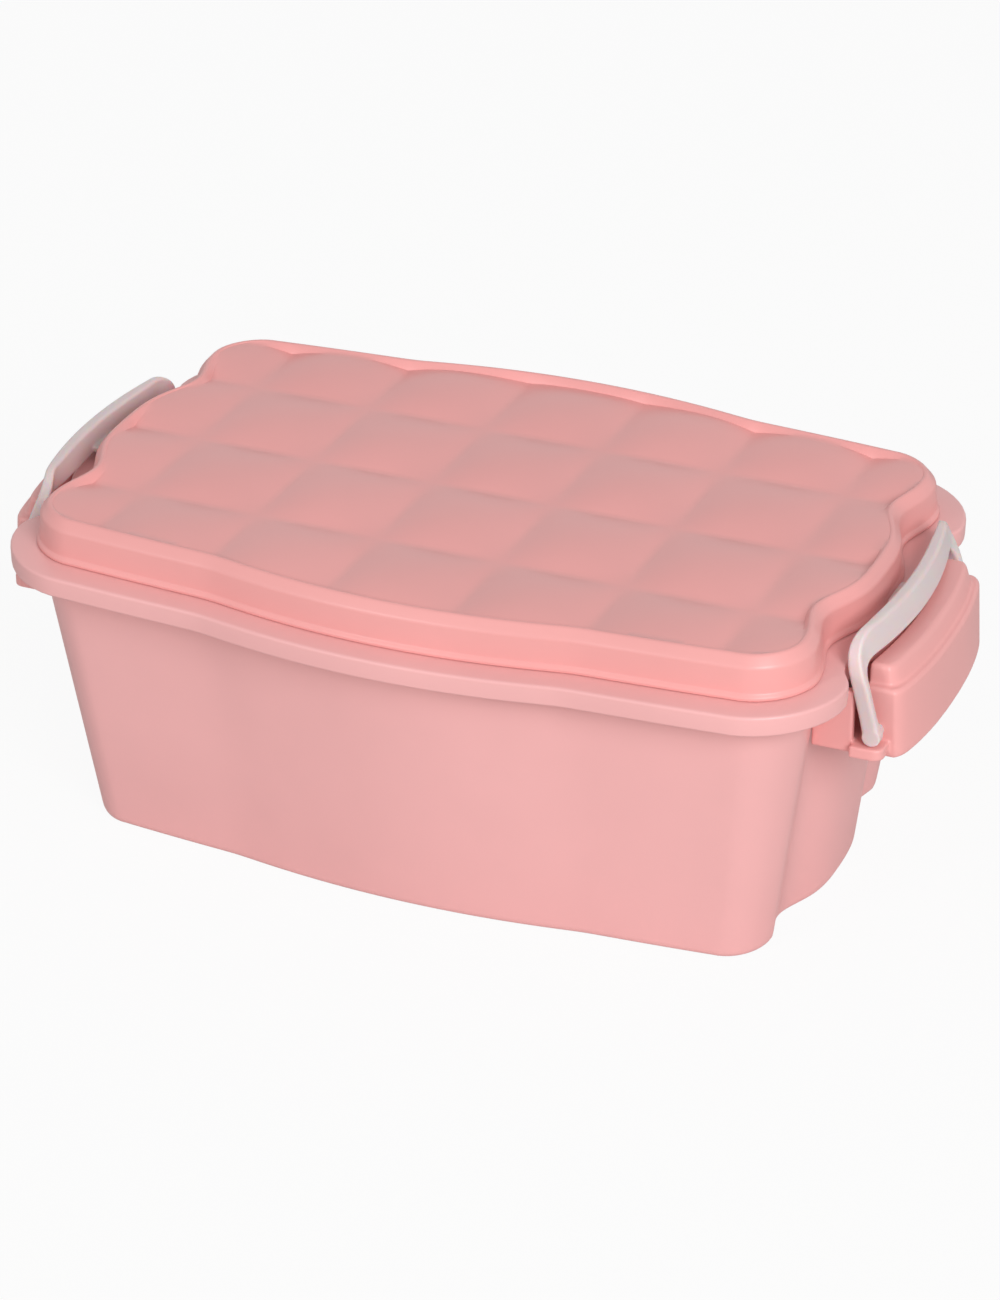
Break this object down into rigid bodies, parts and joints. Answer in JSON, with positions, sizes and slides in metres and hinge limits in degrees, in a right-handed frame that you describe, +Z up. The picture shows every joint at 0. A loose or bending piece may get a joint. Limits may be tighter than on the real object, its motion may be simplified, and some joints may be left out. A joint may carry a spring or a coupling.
{
  "type": "bento lunch box",
  "caption": "Oblong lunch box with a quilted lid, swing bails at both ends, a hanging food tray and removable dividers.",
  "frame": {"origin": "middle of the flat bottom the box stands on", "axes": "+X runs along the box to its right end, -Y is the front long side, +Z is up"},
  "size_m": [0.2258, 0.1408, 0.0819],
  "materials": {
    "tub_plastic": "satin pink polypropylene",
    "lid_plastic": "satin pink polypropylene",
    "seal_silicone": "soft milky silicone",
    "bail_plastic": "satin greyish white plastic",
    "grip_plastic": "satin pink polypropylene",
    "tray_plastic": "matt off-white polypropylene",
    "divider_plastic": "matt pink polypropylene"
  },
  "bodies": {
    "tub_body": {"tub": "tub_plastic", "grip_left": "grip_plastic", "grip_right": "grip_plastic"},
    "lid_body": {"lid": "lid_plastic", "lid_seal": "seal_silicone"},
    "left_bail_body": {"bail_left": "bail_plastic"},
    "right_bail_body": {"bail_right": "bail_plastic"},
    "tray_body": {"food_tray": "tray_plastic"},
    "tray_divider_body": {"tray_divider": "divider_plastic"},
    "base_divider_body": {"base_divider": "divider_plastic"}
  },
  "joints": [
    {"name": "lid_lift", "type": "slide", "parent": "tub_body", "child": "lid_body", "axis": [0, 0, 1], "range_m": [0, 0.025]},
    {"name": "bail_right_swing", "type": "hinge", "parent": "tub_body", "child": "right_bail_body", "pos_m": [0.1043, 0, 0.0563], "axis": [0, 1, 0], "range_deg": [0, 100]},
    {"name": "bail_left_swing", "type": "hinge", "parent": "tub_body", "child": "left_bail_body", "pos_m": [-0.1043, 0, 0.0563], "axis": [0, -1, 0], "range_deg": [0, 100]},
    {"name": "tray_lift", "type": "slide", "parent": "tub_body", "child": "tray_body", "axis": [0, 0, 1], "range_m": [0, 0.0125]},
    {"name": "tray_divider_lift", "type": "slide", "parent": "tray_body", "child": "tray_divider_body", "axis": [0, 0, 1], "range_m": [0, 0.00625]},
    {"name": "base_divider_lift", "type": "slide", "parent": "tub_body", "child": "base_divider_body", "axis": [0, 0, 1], "range_m": [0, 0.00625]}
  ],
  "couplings": [
    {"joint": "bail_right_swing", "follows": "lid_lift", "rad_per_m": 69.8},
    {"joint": "bail_left_swing", "follows": "lid_lift", "rad_per_m": 69.8},
    {"joint": "tray_lift", "follows": "lid_lift", "ratio": 0.5},
    {"joint": "tray_divider_lift", "follows": "lid_lift", "ratio": 0.25},
    {"joint": "base_divider_lift", "follows": "lid_lift", "ratio": 0.25}
  ]
}
